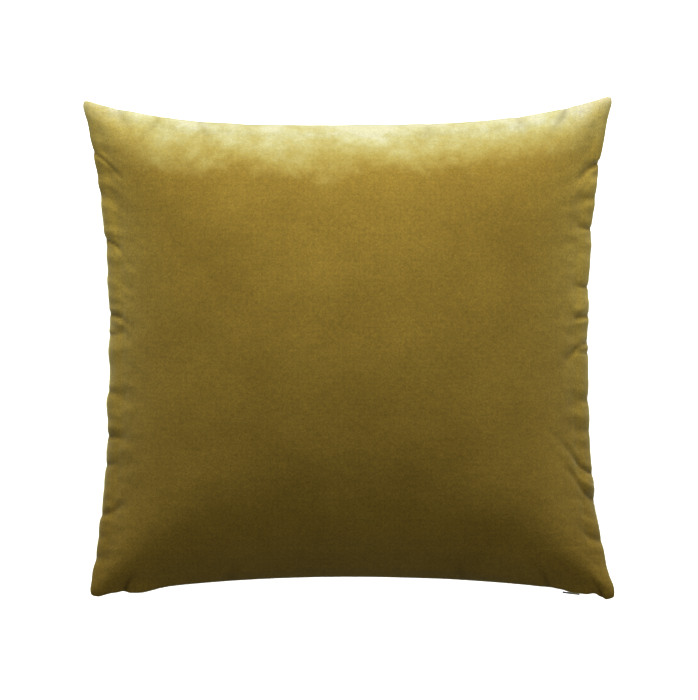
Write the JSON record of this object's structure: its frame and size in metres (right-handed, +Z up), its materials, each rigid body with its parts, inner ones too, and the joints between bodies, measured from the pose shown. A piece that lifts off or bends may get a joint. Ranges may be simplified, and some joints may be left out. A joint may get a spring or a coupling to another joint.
{
  "type": "throw pillow",
  "caption": "Square velvet throw pillow: a seamed cover with a concealed zip along one edge over a fibre-stuffed insert, lying on its back.",
  "frame": {"origin": "on the surface the pillow lies on, under the middle of its outline", "axes": "+Z up through the front panel's crown; -Y towards the zip edge; +X along the zip edge towards its closed end"},
  "size_m": [0.496, 0.468, 0.158],
  "materials": {
    "velvet": "short cotton pile, olive gold",
    "sewing_thread": "matt twisted thread",
    "overlock_thread": "matt texturised thread",
    "label_ribbon": "plain satin ribbon",
    "zip_tape": "woven herringbone tape",
    "zip_coil": "drawn monofilament",
    "dark_metal": "dark lacquered zinc",
    "black_tab": "satin black lacquer",
    "ticking": "close plain cotton weave",
    "ticking_thread": "matt cotton thread",
    "fibre": "loose curled fibre"
  },
  "bodies": {
    "pillow": {"front_panel": "velvet", "back_panel": "velvet", "cover_seam_thread": "sewing_thread", "seam_overlock": "overlock_thread", "care_label": "label_ribbon", "zip_tape_front": "zip_tape", "zip_tape_back": "zip_tape", "zip_coil_front": "zip_coil", "zip_coil_back": "zip_coil", "zip_thread_front": "sewing_thread", "zip_thread_back": "sewing_thread", "zip_top_stops": "dark_metal", "zip_bottom_stop": "dark_metal", "zip_bar_tacks": "sewing_thread", "insert_front_ticking": "ticking", "insert_back_ticking": "ticking", "insert_filling": "fibre", "insert_seam_thread": "ticking_thread", "insert_closing_thread": "ticking_thread"},
    "slider": {"zip_slider": "dark_metal"},
    "pull_tab": {"zip_pull": "black_tab"}
  },
  "joints": [
    {"name": "zip_run", "type": "hinge", "parent": "pillow", "child": "slider", "pos_m": [0, -1.93344, 0.066], "axis": [0, 0, 1], "range_deg": [0, 14.3]},
    {"name": "pull_swing", "type": "hinge", "parent": "slider", "child": "pull_tab", "pos_m": [0.21588, -0.23204, 0.066], "axis": [0, 0, 1], "range_deg": [0, 165]}
  ]
}
